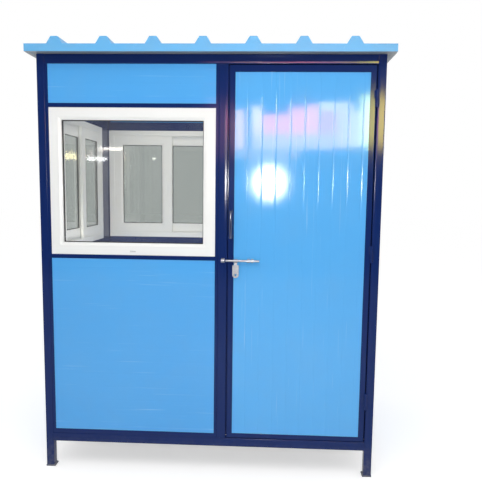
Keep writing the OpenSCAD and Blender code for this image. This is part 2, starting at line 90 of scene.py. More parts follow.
# %% [markdown]
# ## Writing materials
# Colours are written as sRGB hex, as a paint chart gives them, and one function turns them into
# the linear values that a shader wants. A second function adds one node with its settings, and
# puts a value or a link into each socket that is named. Nodes can also be wired by hand in the
# Shader editor, but in code the same few lines serve every finish. All patterns read Object
# coordinates: each piece sits at the origin, so these are metres on the booth, and a pattern's
# scale is 1000 divided by its real size in millimetres.

# %% Colour
def linear(hex_colour):
    """Linear colour with full alpha from an sRGB hex value."""
    parts = [int(hex_colour[i:i + 2], 16) / 255 for i in (1, 3, 5)]
    bent = [c / 12.92 if c <= 0.04045 else ((c + 0.055) / 1.055) ** 2.4 for c in parts]
    return (*bent, 1.0)


print("mid grey #808080 is", round(linear("#808080")[0], 3), "in linear light")

# %% Node and material
def node(tree, kind, settings=None, sockets=None):
    """Adds a node. A socket's value is a number, a colour or another node's output."""
    made = tree.nodes.new("ShaderNode" + kind)
    for key, value in (settings or {}).items():
        setattr(made, key, value)
    for key, value in (sockets or {}).items():
        if isinstance(value, bpy.types.NodeSocket):
            tree.links.new(value, made.inputs[key])
        else:
            made.inputs[key].default_value = value
    return made


def new_material(name):
    """An empty material: its tree, its output node and its Object coordinates."""
    material = bpy.data.materials.new(name)
    material.use_nodes = True
    tree = material.node_tree
    tree.nodes.clear()
    output = node(tree, "OutputMaterial")
    place = node(tree, "TexCoord").outputs["Object"]
    return material, tree, output, place


print("material tools ready")

# %% [markdown]
# ## Navy enamel on the steel tubes
# The tubes are mild steel, sprayed with a solvent-borne gloss enamel. The eye gets a deep blue
# that is nearly black where nothing bright is mirrored, a fine orange-peel ripple in every
# reflection, and a veil of road dust on the legs. A picture of paint could be wrapped round the
# tubes, but noise in Object coordinates runs on from tube to tube without a seam. The dust
# follows the height above the ground, which is the z of these coordinates. Hands keep the door
# handle polished, so its coat is a smoother and stronger mirror.

# %% Navy enamel
ROAD_DUST = "#9A9790"
DUST_ROUGHNESS = 0.75


def gloss_enamel(name, colour, worn_colour, dust_top, dust_share, roughness, mirror, rolled=None):
    """Sprayed gloss enamel, dusty below dust_top. rolled tells where a face falls to its edge."""
    material, tree, output, place = new_material(name)
    # The tone drifts over about 420 mm
    cloud = node(tree, "TexNoise", None, {"Vector": place, "Scale": 1000 / 420, "Detail": 2.0})
    tone = node(tree, "Mix", {"data_type": "RGBA"}, {
        0: cloud.outputs["Fac"], 6: linear(colour), 7: linear(worn_colour)})
    # Dust thickens towards the ground, in patches of about 28 mm
    where = node(tree, "SeparateXYZ", None, {"Vector": place})
    low = node(tree, "MapRange", {"interpolation_type": "SMOOTHSTEP"}, {
        "Value": where.outputs["Z"], "From Min": dust_top, "From Max": 0.0,
        "To Min": 0.0, "To Max": dust_share})
    grit = node(tree, "TexNoise", None, {"Vector": place, "Scale": 1000 / 28, "Detail": 6.0,
                                         "Roughness": 0.65})
    patch = node(tree, "MapRange", None, {"Value": grit.outputs["Fac"], "From Min": 0.3,
                                          "From Max": 0.7})
    veil = node(tree, "Math", {"operation": "MULTIPLY"}, {0: low.outputs[0], 1: patch.outputs[0]})
    dusty = node(tree, "Mix", {"data_type": "RGBA"}, {
        0: veil.outputs[0], 6: tone.outputs[2], 7: linear(ROAD_DUST)})
    shine = node(tree, "MapRange", None, {"Value": veil.outputs[0], "To Min": roughness,
                                          "To Max": DUST_ROUGHNESS})
    # Orange peel, about 7 mm from crest to crest
    peel = node(tree, "TexNoise", None, {"Vector": place, "Scale": 1000 / 7, "Detail": 1.0})
    ripple = node(tree, "Bump", None, {"Height": peel.outputs["Fac"], "Strength": 0.35,
                                       "Distance": 0.25 * MM})
    if rolled:
        axis, start, edge, fall_mm = rolled
        near = node(tree, "MapRange", None, {"Value": where.outputs[axis], "From Min": start,
                                             "From Max": edge})
        curve = node(tree, "Math", {"operation": "MULTIPLY"}, {0: near.outputs[0],
                                                               1: near.outputs[0]})
        crown = node(tree, "Bump", {"invert": True}, {
            "Height": curve.outputs[0], "Strength": 1.0, "Distance": fall_mm * MM})
        tree.links.new(crown.outputs[0], ripple.inputs["Normal"])
    paint = node(tree, "BsdfPrincipled", None, {
        "Base Color": dusty.outputs[2], "Roughness": shine.outputs[0],
        "Normal": ripple.outputs[0], "IOR": 1.5, "Specular IOR Level": mirror})
    tree.links.new(paint.outputs[0], output.inputs["Surface"])
    return material


NAVY = {"colour": "#0D245B", "worn_colour": "#122A63", "dust_top": 0.22, "dust_share": 0.25,
        "roughness": 0.11, "mirror": 0.17}
navy_enamel = gloss_enamel("navy_gloss_enamel", **NAVY)
dusty_enamel = gloss_enamel("navy_enamel_under_dust", "#4A5470", "#66708A", dust_top=0.60,
                            dust_share=0.8, roughness=0.3, mirror=0.25)
handle_enamel = gloss_enamel("handled_gloss_enamel", "#142149", "#182754", dust_top=0.0,
                             dust_share=0.0, roughness=0.1, mirror=1.0)
print("enamel", navy_enamel.name, dusty_enamel.name, handle_enamel.name)

# %% [markdown]
# ## Tube faces that roll off
# A cold-rolled tube isn't quite flat. Near a corner its face falls away a little, and the gloss
# turns that into a long bright line, as over the door, on the mullion and on the hinge post. The
# tubes could be crowned in the CAD model, but the fall is less than a millimetre and shows only in
# the reflections, so a bump tilts the last stretch of these three faces. The value called rolled
# gives the axis, where the fall starts, where it ends at the rounded corner, and how deep it goes.

# %% Rolled faces
TUBE_R = 5 * MM
ROLL_W = 15 * MM
FALL_MM = 0.85
POST_FALL_MM = 0.65
beam_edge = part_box("top_long_beams")[0].z + TUBE_R
beam_enamel = gloss_enamel("navy_enamel_on_top_beam", **NAVY,
                           rolled=("Z", beam_edge + ROLL_W, beam_edge, FALL_MM))
mullion_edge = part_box("mullions")[1].x - TUBE_R
mullion_enamel = gloss_enamel("navy_enamel_on_mullion", **NAVY,
                              rolled=("X", mullion_edge - ROLL_W, mullion_edge, FALL_MM))
post_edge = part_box("corner_post_front_right")[0].x + TUBE_R
post_enamel = gloss_enamel("navy_enamel_on_hinge_post", **NAVY,
                           rolled=("X", post_edge + ROLL_W / 2, post_edge, POST_FALL_MM))
print("rolled faces", beam_enamel.name, mullion_enamel.name, post_enamel.name)

# %% [markdown]
# ## Rolled grooves in the door sheet
# The door sheet is stiffened by shallow upright grooves. They are cut in the CAD model, so their
# shape is real, but a rolled groove catches more light than a shallow cut does. A bump with the
# same pitch and width makes them steeper. It wraps x at the pitch and squares what is left, so the
# same few nodes draw every groove.

# %% Rolled grooves
GROOVE_PITCH = 75 * MM
GROOVE_W = 9 * MM


def rolled_grooves(tree, place, first_x, depth_mm, coat):
    """A bump of upright grooves on top of the coat, from the place of the first one."""
    across = node(tree, "SeparateXYZ", None, {"Vector": place})
    past = node(tree, "Math", {"operation": "SUBTRACT"}, {0: across.outputs["X"], 1: first_x})
    off = node(tree, "Math", {"operation": "WRAP"}, {
        0: past.outputs[0], 1: GROOVE_PITCH / 2, 2: -GROOVE_PITCH / 2})
    square = node(tree, "Math", {"operation": "MULTIPLY"}, {0: off.outputs[0], 1: off.outputs[0]})
    dip = node(tree, "MapRange", None, {"Value": square.outputs[0], "From Min": 0.0,
                                        "From Max": (GROOVE_W / 2) ** 2})
    return node(tree, "Bump", None, {"Height": dip.outputs[0], "Strength": 1.0,
                                     "Distance": depth_mm * MM, "Normal": coat.outputs[0]})


print("groove pitch", GROOVE_PITCH, "width", GROOVE_W)

# %% [markdown]
# ## Coil-coated sheet on the panels and the roof
# The panels are foam between two sheets of galvanised steel, painted on the coil before they are
# rolled. The coat is smooth and even, so what tells the eye that it is thin sheet is the slow
# waviness of its reflections, an oil-can ripple some hand widths long. It could be modelled by
# bending the panels, but a bump leaves the CAD solids flat. Handling leaves faint pale scuffs along
# the sheet: noise that a Mapping node stretches fifty times. A coil coat is finer than the render
# shows, so its grain is drawn at 3 mm. The hidden face of the sheet gets only a thin grey back
# coat, which shows under the eaves. Its grey is drawn darker as painted shade, and it is mixed in
# where the surface looks down. Sun and rain have dulled the roof, while the walls still shine.

# %% Coil coat
PALE_SCUFF = "#A9D6F7"
GREY_FILM = "#8C9AA3"


def coil_coat(name, colour, pale_colour, under, scuffs, grime, dull, grooves=None):
    """Coil-coated sheet. scuffs stretches its marks, grime greys it, dull is its roughness."""
    material, tree, output, place = new_material(name)
    # The tone drifts over about 700 mm
    cloud = node(tree, "TexNoise", None, {"Vector": place, "Scale": 1000 / 700, "Detail": 2.0})
    tone = node(tree, "Mix", {"data_type": "RGBA"}, {
        0: cloud.outputs["Fac"], 6: linear(colour), 7: linear(pale_colour)})
    # Scuffs are 9 mm wide before they are stretched
    stretch = node(tree, "Mapping", None, {"Vector": place, "Scale": scuffs})
    marks = node(tree, "TexNoise", None, {"Vector": stretch.outputs[0], "Scale": 1000 / 9,
                                          "Detail": 3.0})
    scuff = node(tree, "MapRange", None, {"Value": marks.outputs["Fac"], "From Min": 0.66,
                                          "From Max": 0.78, "To Max": 0.35})
    scuffed = node(tree, "Mix", {"data_type": "RGBA"}, {
        0: scuff.outputs[0], 6: tone.outputs[2], 7: linear(PALE_SCUFF)})
    # A grey film lies in patches of about 160 mm
    soil = node(tree, "TexNoise", None, {"Vector": place, "Scale": 1000 / 160, "Detail": 5.0})
    film = node(tree, "MapRange", None, {"Value": soil.outputs["Fac"], "From Min": 0.45,
                                         "From Max": 0.8, "To Max": grime})
    soiled = node(tree, "Mix", {"data_type": "RGBA"}, {
        0: film.outputs[0], 6: scuffed.outputs[2], 7: linear(GREY_FILM)})
    # The grey back coat, darkened as painted shade, shows where the sheet looks down
    way = node(tree, "SeparateXYZ", None, {
        "Vector": node(tree, "NewGeometry").outputs["Normal"]})
    down = node(tree, "MapRange", None, {"Value": way.outputs["Z"], "From Min": -0.6,
                                         "From Max": -0.9})
    coated = node(tree, "Mix", {"data_type": "RGBA"}, {
        0: down.outputs[0], 6: soiled.outputs[2], 7: linear(under)})
    shine = node(tree, "MapRange", None, {"Value": soil.outputs["Fac"], "To Min": dull,
                                          "To Max": dull + 0.06})
    # Oil-can waves of 330 mm under a grain of 3 mm
    wave = node(tree, "TexNoise", None, {"Vector": place, "Scale": 1000 / 330, "Detail": 0.0})
    oil_can = node(tree, "Bump", None, {"Height": wave.outputs["Fac"], "Strength": 1.0,
                                        "Distance": 0.12 * MM})
    grain = node(tree, "TexNoise", None, {"Vector": place, "Scale": 1000 / 3, "Detail": 1.0})
    relief = node(tree, "Bump", None, {"Height": grain.outputs["Fac"], "Strength": 0.25,
                                       "Distance": 0.02 * MM, "Normal": oil_can.outputs[0]})
    if grooves:
        relief = rolled_grooves(tree, place, *grooves, relief)
    sheet = node(tree, "BsdfPrincipled", None, {
        "Base Color": coated.outputs[2], "Roughness": shine.outputs[0],
        "Normal": relief.outputs[0], "IOR": 1.5, "Specular IOR Level": 0.35})
    tree.links.new(sheet.outputs[0], output.inputs["Surface"])
    return material


print("coat colours", PALE_SCUFF, GREY_FILM)

# %% [markdown]
# ## Three coats of sky blue
# Walls, door and roof could share one material, but each is seen in its own way, so one function
# coats all three. Scuffs follow the way a sheet is slid into place: level in the walls, up and down
# in the door, front to back on the roof. Only the door gets the groove bump, and only the roof
# shows a back coat, whose grey is partly painted shade.

# %% Panels, door and roof
# Grey back coat, darkened as painted shade under the eaves
BACK_COAT_AND_SHADE = "#8E9599"
LEVEL = (0.02, 0.02, 1.0)
UP_AND_DOWN = (1.0, 1.0, 0.02)
FRONT_TO_BACK = (1.0, 0.02, 1.0)
FIRST_GROOVE_X = 0.205
GROOVE_MM = 0.35
panel_coat = coil_coat("sky_coil_coated_sheet", "#4EA3E6", "#55A9EA", under="#4EA3E6",
                       scuffs=LEVEL, grime=0.05, dull=0.04)
door_coat = coil_coat("sky_door_sheet", "#54A9EA", "#5CAFEE", under="#54A9EA", scuffs=UP_AND_DOWN,
                      grime=0.05, dull=0.04, grooves=(FIRST_GROOVE_X, GROOVE_MM))
# The roof's underside colour is a back coat plus painted shade
roof_coat_with_shade = coil_coat("sky_roof_sheet_shaded_below", "#5FACE1", "#67B4E7", under=BACK_COAT_AND_SHADE,
                      scuffs=FRONT_TO_BACK, grime=0.18, dull=0.36)
print("sheet", panel_coat.name, door_coat.name, roof_coat_with_shade.name)

# %% [markdown]
# ## White window plastic
# The window frames are extruded PVC-U, welded at the corners. The extrusion leaves a smooth,
# slightly soft shine with a very faint unevenness. One flat white would do from afar, but close up
# it looks like paper, so the tone and the shine vary a little. It is the palest thing on the booth:
# its colour stays just under paper white, and the light is set so that it doesn't clip.

# %% Window plastic
def extruded_upvc(name, colour, aged_colour):
    """Smooth extruded plastic that has aged unevenly."""
    material, tree, output, place = new_material(name)
    # Ageing in patches of about 260 mm
    ageing = node(tree, "TexNoise", None, {"Vector": place, "Scale": 1000 / 260, "Detail": 3.0})
    tone = node(tree, "Mix", {"data_type": "RGBA"}, {
        0: ageing.outputs["Fac"], 6: linear(colour), 7: linear(aged_colour)})
    # Unevenness from the die, about 14 mm
    uneven = node(tree, "TexNoise", None, {"Vector": place, "Scale": 1000 / 14, "Detail": 2.0})
    faint = node(tree, "Bump", None, {"Height": uneven.outputs["Fac"], "Strength": 0.2,
                                      "Distance": 0.1 * MM})
    shine = node(tree, "MapRange", None, {"Value": uneven.outputs["Fac"], "To Min": 0.24,
                                          "To Max": 0.36})
    plastic = node(tree, "BsdfPrincipled", None, {
        "Base Color": tone.outputs[2], "Roughness": shine.outputs[0],
        "Normal": faint.outputs[0], "IOR": 1.53, "Specular IOR Level": 0.2})
    tree.links.new(plastic.outputs[0], output.inputs["Surface"])
    return material


upvc = extruded_upvc("white_extruded_upvc", "#EFF0EF", "#E9EAE8")
print("plastic", upvc.name)

# %% [markdown]
# ## Float glass
# A pane is two flat faces close together, so it hardly bends what is seen through it. A glass
# shader would bend and darken it, and would keep the lamps out of the room. So a pane is written as
# a tinted Transparent shader with a mirror on top, mixed by Fresnel. The front pane is clear, under
# a thin film of dust that lifts the dark things behind it. The sliding panes look mid-grey in the
# photograph, so they get a grey body tint. Each pane has two faces, so a tint counts twice.
# The Fresnel node takes a back face for the inside of a block of glass, where flat rays can't get
# out. The rays here don't bend, so the index is turned over on back faces to undo that.

# %% Float glass
GLASS_INDEX = 1.5
GLASS_DUST = "#E4E6E6"


def float_glass(name, tint, dust):
    """Flat pane: what is behind it, tinted, under dust and a mirror that grows at a flat angle."""
    material, tree, output, place = new_material(name)
    through = node(tree, "BsdfTransparent", None, {"Color": linear(tint)})
    # Smears of about 240 mm dull the mirror
    smear = node(tree, "TexNoise", None, {"Vector": place, "Scale": 1000 / 240, "Detail": 4.0})
    shine = node(tree, "MapRange", None, {"Value": smear.outputs["Fac"], "To Min": 0.0,
                                          "To Max": 0.07})
    mirror = node(tree, "BsdfGlossy", None, {"Color": linear("#FFFFFF"),
                                             "Roughness": shine.outputs[0]})
    side = node(tree, "NewGeometry").outputs["Backfacing"]
    index = node(tree, "MapRange", None, {"Value": side, "To Min": GLASS_INDEX,
                                          "To Max": 1 / GLASS_INDEX})
    edge_on = node(tree, "Fresnel", None, {"IOR": index.outputs[0]})
    seen = through
    if dust:
        film = node(tree, "MapRange", None, {"Value": smear.outputs["Fac"], "From Min": 0.2,
                                             "From Max": 0.8, "To Max": dust})
        grey = node(tree, "BsdfDiffuse", None, {"Color": linear(GLASS_DUST)})
        seen = node(tree, "MixShader", None, {0: film.outputs[0], 1: through.outputs[0],
                                              2: grey.outputs[0]})
    pane = node(tree, "MixShader", None, {0: edge_on.outputs[0], 1: seen.outputs[0],
                                          2: mirror.outputs[0]})
    tree.links.new(pane.outputs[0], output.inputs["Surface"])
    return material


clear_glass = float_glass("clear_float_glass", "#FBFDFC", dust=0.05)
grey_glass = float_glass("grey_float_glass", "#CCCFCD", dust=0.0)
print("glass", clear_glass.name, grey_glass.name)

# %% [markdown]
# ## Bright zinc
# The bolt, its guides, the keeper and the screws are pressed steel with a bright zinc plate. Thin
# zinc gives a cool grey metal with a cloudy shine, and it dulls where hands and rain reach it. One
# noise drives both the tone and the roughness, because on the real plate the dark clouds are also
# the dull ones.

# %% Bright zinc
def zinc_plate(name, colour, dull_colour):
    """Thin bright plating with clouds of about 18 mm and fine pits."""
    material, tree, output, place = new_material(name)
    cloud = node(tree, "TexNoise", None, {"Vector": place, "Scale": 1000 / 18, "Detail": 4.0})
    tone = node(tree, "Mix", {"data_type": "RGBA"}, {
        0: cloud.outputs["Fac"], 6: linear(colour), 7: linear(dull_colour)})
    shine = node(tree, "MapRange", None, {"Value": cloud.outputs["Fac"], "To Min": 0.22,
                                          "To Max": 0.5})
    pits = node(tree, "TexNoise", None, {"Vector": place, "Scale": 1000 / 2.5, "Detail": 2.0})
    rough = node(tree, "Bump", None, {"Height": pits.outputs["Fac"], "Strength": 0.3,
                                      "Distance": 0.1 * MM})
    metal = node(tree, "BsdfPrincipled", None, {
        "Base Color": tone.outputs[2], "Metallic": 1.0, "Roughness": shine.outputs[0],
        "Normal": rough.outputs[0]})
    tree.links.new(metal.outputs[0], output.inputs["Surface"])
    return material


zinc = zinc_plate("bright_zinc_plate", "#A3AAB2", "#80868C")
print("metal", zinc.name)

# %% [markdown]
# ## Rubber, the floor sheet and moulded caps
# Three plain materials that one function can make. The glazing seals are black EPDM rubber with a
# dull skin. The floor is covered with a grey vinyl sheet printed with a fine fleck, about 5 mm
# across, so that dirt doesn't show. The drain caps are drawn in a plastic slightly greyer than the
# frames: painted shade that stands in for the shadow in the drain slot, so that the cap in the
# middle of the front sill can be told from the sill.

# %% Rubber, floor sheet and caps
def soft_coat(name, colour, fleck_colour, fleck_mm, roughness, bump_mm):
    """A plain moulded or poured surface with a fleck of a second colour."""
    material, tree, output, place = new_material(name)
    fleck = node(tree, "TexNoise", None, {"Vector": place, "Scale": 1000 / fleck_mm,
                                          "Detail": 3.0})
    share = node(tree, "MapRange", None, {"Value": fleck.outputs["Fac"], "From Min": 0.5,
                                          "From Max": 0.62})
    tone = node(tree, "Mix", {"data_type": "RGBA"}, {
        0: share.outputs[0], 6: linear(colour), 7: linear(fleck_colour)})
    skin = node(tree, "Bump", None, {"Height": fleck.outputs["Fac"], "Strength": 0.4,
                                     "Distance": bump_mm * MM})
    body = node(tree, "BsdfPrincipled", None, {
        "Base Color": tone.outputs[2], "Roughness": roughness, "Normal": skin.outputs[0]})
    tree.links.new(body.outputs[0], output.inputs["Surface"])
    return material


rubber = soft_coat("black_epdm_rubber", "#17181A", "#202124", fleck_mm=3, roughness=0.6,
                   bump_mm=0.1)
vinyl = soft_coat("grey_vinyl_floor_sheet", "#8B8E90", "#6F7274", fleck_mm=5, roughness=0.5,
                  bump_mm=0.1)
# The caps' grey is partly painted shade for the drain slot
cap_plastic_and_shade = soft_coat("grey_cap_plastic_and_painted_shade", "#C6C8C9", "#BEC0C1", fleck_mm=4, roughness=0.45,
                        bump_mm=0.05)
print("soft", rubber.name, vinyl.name, cap_plastic_and_shade.name)

# %% [markdown]
# ## Dressing the CAD nodes
# A CAD edge is perfectly sharp and catches no light, while a real folded or sawn edge always has
# a small radius. The CAD mesh is loose triangles, so a Weld modifier joins them first, and a
# Bevel modifier then rounds every edge that turns by more than 40 degrees. Both stay live,
# because the mesh of a CAD node isn't changed. Only folded and extruded pieces need this. The
# tubes, the grooved panels and the fittings are round in the CAD model already, and they keep the
# smooth normals that came with it. Glass panes keep their edges, which sit in grooves.

# %% Paint and round
def dress(names, material, edge_mm=0.0):
    """Paints CAD nodes and rounds their edges."""
    for name in names:
        piece = nodes[name]
        piece.data.materials.clear()
        piece.data.materials.append(material)
        if edge_mm:
            weld = piece.modifiers.new("join_triangles", "WELD")
            weld.merge_threshold = 0.01 * MM
            bevel = piece.modifiers.new("round_edges", "BEVEL")
            bevel.width = edge_mm * MM
            bevel.segments = 2
            bevel.limit_method = "ANGLE"
            bevel.angle_limit = radians(40)
            bevel.harden_normals = True


WALLS = ("front", "left", "right", "rear")
SLIDERS = ("left", "right", "rear")
dress(["corner_post_front_left", "corner_post_rear_left", "corner_post_rear_right",
       "base_long_beams", "base_side_beams", "top_side_beams", "floor_joists", "door_frame",
       "hinge_pins", "hinge_sleeves"], navy_enamel)
dress(["corner_post_front_right"], post_enamel)
dress(["mullions"], mullion_enamel)
dress(["top_long_beams"], beam_enamel)
dress(["door_handle"], handle_enamel)
dress(["front_channel", "left_channel", "right_channel", "rear_window_channel",
       "rear_panel_channel", "door_stop"], navy_enamel, edge_mm=0.5)
dress(["foot_plates"], dusty_enamel, edge_mm=1.0)
dress([w + "_wall_panels" for w in WALLS], panel_coat)
dress(["door_panel"], door_coat)
dress(["roof_panel"], roof_coat_with_shade, edge_mm=3.0)
dress(["eave_trims", "verge_trims"], roof_coat_with_shade, edge_mm=0.8)
dress([w + "_window_frame" for w in WALLS], upvc, edge_mm=1.5)
dress([w + "_window_sashes" for w in SLIDERS], upvc, edge_mm=0.7)
dress(["front_window_glass"], clear_glass)
dress([w + "_window_glass" for w in SLIDERS], grey_glass)
dress(["bolt_keeper", "bolt_guides", "bolt_rod", "bolt_hasp"], zinc)
dress(["floor_board"], vinyl, edge_mm=1.0)

# %% [markdown]
# ## Modelling by hand, in code
# New pieces start as a primitive and are shaped in edit mode, as a person would at the screen.
# A mesh can also be written as lists of points and faces, but the operators are the same ones
# that a learner finds in Blender's menus. An operator acts on everything that is selected, so each
# piece starts with nothing selected, and faces are then picked by the way they look. A finished
# piece has its place in its mesh, rides on a CAD body, and shows its own colour.

# %% Selecting
def leave_edit():
    """Goes back to object mode if a piece is open in edit mode."""
    if bpy.context.object and bpy.context.object.mode == "EDIT":
        bpy.ops.object.mode_set(mode="OBJECT")


def pick(piece):
    """Makes one object the only selected one, in object mode."""
    leave_edit()
    bpy.ops.object.select_all(action="DESELECT")
    piece.select_set(True)
    bpy.context.view_layer.objects.active = piece


def pick_faces(piece, wanted):
    """In edit mode, selects the faces for which wanted(middle, normal) is true."""
    bpy.ops.mesh.select_mode(type="FACE")
    bpy.ops.mesh.select_all(action="DESELECT")
    mesh = bmesh.from_edit_mesh(piece.data)
    for face in mesh.faces:
        face.select_set(wanted(face.calc_center_median(), face.normal))
    bmesh.update_edit_mesh(piece.data)


print("selecting ready")

# %% Beginning and closing a piece
SMOOTH_DEGREES = 35


def begin(add_primitive, **size_and_place):
    """Adds a primitive with nothing else selected, applies its place and opens it."""
    leave_edit()
    bpy.ops.object.select_all(action="DESELECT")
    add_primitive(**size_and_place)
    bpy.ops.object.transform_apply(location=True, rotation=True, scale=True)
    bpy.ops.object.mode_set(mode="EDIT")
    return bpy.context.object


def settle(piece, name, body):
    """Turns the normals outwards, leaves edit mode and sets the piece on its body."""
    bpy.ops.mesh.select_all(action="SELECT")
    bpy.ops.mesh.normals_make_consistent(inside=False)
    bpy.ops.object.mode_set(mode="OBJECT")
    bpy.ops.object.shade_smooth_by_angle(angle=radians(SMOOTH_DEGREES))
    piece.name = name
    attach(piece, body)


def close(piece, name, material, body):
    """Merges points that meet, settles the piece and paints it with one material."""
    bpy.ops.mesh.select_all(action="SELECT")
    bpy.ops.mesh.remove_doubles(threshold=0.001 * MM)
    settle(piece, name, body)
    piece.data.materials.clear()
    piece.data.materials.append(material)
    return piece


print("edges are smooth up to", SMOOTH_DEGREES, "degrees")

# %% Joining and repeating
def join(pieces):
    """Joins pieces into one and opens it in edit mode."""
    pick(pieces[0])
    for piece in pieces:
        piece.select_set(True)
    bpy.ops.object.join()
    bpy.ops.object.transform_apply(location=True, rotation=True, scale=True)
    bpy.ops.object.mode_set(mode="EDIT")
    return bpy.context.object


def repeat(piece, places):
    """Puts a copy with its own mesh at each place and turn, and joins them into one piece."""
    copies = []
    for place, turned in places:
        pick(piece)
        bpy.ops.object.duplicate(linked=False)
        copy = bpy.context.object
        copy.matrix_world = Matrix.Translation(place) @ turned.to_4x4()
        copies.append(copy)
    bpy.data.objects.remove(piece)
    return join(copies)


UPRIGHT = Matrix.Identity(3)
ALONG_X = Matrix.Rotation(radians(90), 3, "Y")
ALONG_Y = Matrix.Rotation(radians(90), 3, "X")
for turned in (UPRIGHT, ALONG_X, ALONG_Y):
    print("a piece along z now points along", tuple(round(v) for v in turned @ Vector((0, 0, 1))))

# %% [markdown]
# ## Weld beads
# The tubes are butted together and welded on their outer faces. A bead fills the small valley
# between a rounded post and the sawn end of a beam, and the welder's steps show as ripples. One
# bead is drawn as a disc that is pushed along in short steps, swelling and shrinking as it goes,
# which is quicker than modelling the ripples one by one. Copies then go to every joint.

# %% One bead
BEAD_R = 3.2 * MM
START_SHARE = 0.6
START_SWELL = 1.5
SWELL = 1.18
RISE = 0.35


def weld_bead(length, radius):
    """A rippled bead along z, its middle at the origin. A ripple is about one radius long."""
    steps = int(length / radius)
    ripple = length / steps
    low = -length / 2
    bead = begin(bpy.ops.mesh.primitive_circle_add, vertices=10, radius=radius * START_SHARE,
                 fill_type="NGON", location=(0, 0, low))
    bpy.ops.mesh.select_all(action="SELECT")
    for i in range(steps):
        swell = START_SWELL if i == 0 else SWELL
        for move, grow in ((RISE, swell), (1 - RISE, 1 / SWELL)):
            low += ripple * move
            bpy.ops.mesh.extrude_region_move(
                TRANSFORM_OT_translate={"value": (0, 0, ripple * move)})
            bpy.ops.transform.resize(value=(grow, grow, 1), center_override=(0, 0, low))
    leave_edit()
    return bead


print("bead radius", BEAD_R)

# %% [markdown]
# ## Welds on the tube frame
# Every beam ends at a post, at two heights, and the mullions end at the beams. The places of these
# joints come from the boxes of the CAD nodes, so the beads follow if the booth is made larger. Each
# bead is sunk a little, as the weld metal is.

# %% Tube welds
SUNK = 1.4 * MM
BEAM_BEAD = 44 * MM
post_lo, post_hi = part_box("corner_post_front_left")
beam_lo, beam_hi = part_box("base_long_beams")
top_lo, top_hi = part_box("top_long_beams")
mull_lo, mull_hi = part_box("mullions")
tube = post_hi.x - post_lo.x
face_x, face_y = -post_lo.x, -post_lo.y
inner_x, inner_y = face_x - tube, face_y - tube
joints = []
for z in ((beam_lo.z + beam_hi.z) / 2, (top_lo.z + top_hi.z) / 2):
    for sx in (-1, 1):
        for sy in (-1, 1):
            joints.append((Vector((sx * (inner_x + SUNK), sy * (face_y - SUNK), z)), UPRIGHT))
            joints.append((Vector((sx * (face_x - SUNK), sy * (inner_y + SUNK), z)), UPRIGHT))
mullion_x = (mull_lo.x + mull_hi.x) / 2
for z in (mull_lo.z + SUNK, mull_hi.z - SUNK):
    for sy in (-1, 1):
        joints.append((Vector((mullion_x, sy * (face_y - SUNK), z)), ALONG_X))
tube_welds = repeat(weld_bead(BEAM_BEAD, BEAD_R), joints)
close(tube_welds, "tube_welds", navy_enamel, "cabin")
triangles = sum(len(face.vertices) - 2 for face in tube_welds.data.polygons)
print("tube welds", len(joints), "triangles", triangles)

# %% [markdown]
# ## Welds on the foot plates
# Each leg stands on a small plate that reaches furthest past it on the two inner sides, so that is
# where a bead finds room. A new bead could be drawn, but the same one serves, a little shorter and
# under the dust of the ground.

# %% Foot welds
FOOT_BEAD = 38 * MM
plate_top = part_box("foot_plates")[1].z
seams = []
for sx in (-1, 1):
    for sy in (-1, 1):
        leg_x, leg_y = sx * (face_x - tube / 2), sy * (face_y - tube / 2)
        seams.append((Vector((sx * inner_x, leg_y, plate_top + SUNK)), ALONG_Y))
        seams.append((Vector((leg_x, sy * inner_y, plate_top + SUNK)), ALONG_X))
foot_welds = repeat(weld_bead(FOOT_BEAD, BEAD_R), seams)
close(foot_welds, "foot_welds", dusty_enamel, "cabin")
print("foot welds", len(seams))

# %% [markdown]
# ## Welds on the bolt's straps
# The keeper on the mullion and the two guides on the door are bent straps, held by a thin bead
# above and below. They could also be riveted, but a bead needs no hole in the tube. The beads of
# the guides ride on the door, so they are a piece of their own.

# %% Strap welds
STRAP_BEAD_R = 1.5 * MM
KEEPER_BEAD = 15 * MM
GUIDE_BEAD = 12 * MM
GUIDE_W = 14 * MM
PANEL_RECESS = 2 * MM


def strap_seams(lo, hi, middles, wall_y):
    """Places of the beads above and below each strap, from the middles of the straps."""
    return [(Vector((x, wall_y, z)), ALONG_X) for x in middles for z in (lo.z, hi.z)]


keeper_lo, keeper_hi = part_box("bolt_keeper")
keeper_seams = strap_seams(keeper_lo, keeper_hi, [(keeper_lo.x + keeper_hi.x) / 2], -face_y)
keeper_welds = repeat(weld_bead(KEEPER_BEAD, STRAP_BEAD_R), keeper_seams)
close(keeper_welds, "keeper_welds", zinc, "cabin")
guide_lo, guide_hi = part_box("bolt_guides")
guide_middles = [guide_lo.x + GUIDE_W / 2, guide_hi.x - GUIDE_W / 2]
guide_seams = strap_seams(guide_lo, guide_hi, guide_middles, -face_y + PANEL_RECESS)
guide_welds = repeat(weld_bead(GUIDE_BEAD, STRAP_BEAD_R), guide_seams)
close(guide_welds, "guide_welds", zinc, "door")
print("strap welds", len(keeper_seams), "on the keeper", len(guide_seams), "on the guides")

# %% [markdown]
# ## Glazing seals
# Each pane is held by a black rubber seal on both faces, a line about 4 mm wide that draws the
# pane's outline in the photograph. A strip could be swept along the edge, but its corners would
# have to be mitred. Here a seal is a plane as large as the opening: an inset makes it a ring, the
# middle is deleted, the ring is pulled out from the glass, and its lip is rounded.

# %% One ring
ONE_PANE = 8 * MM


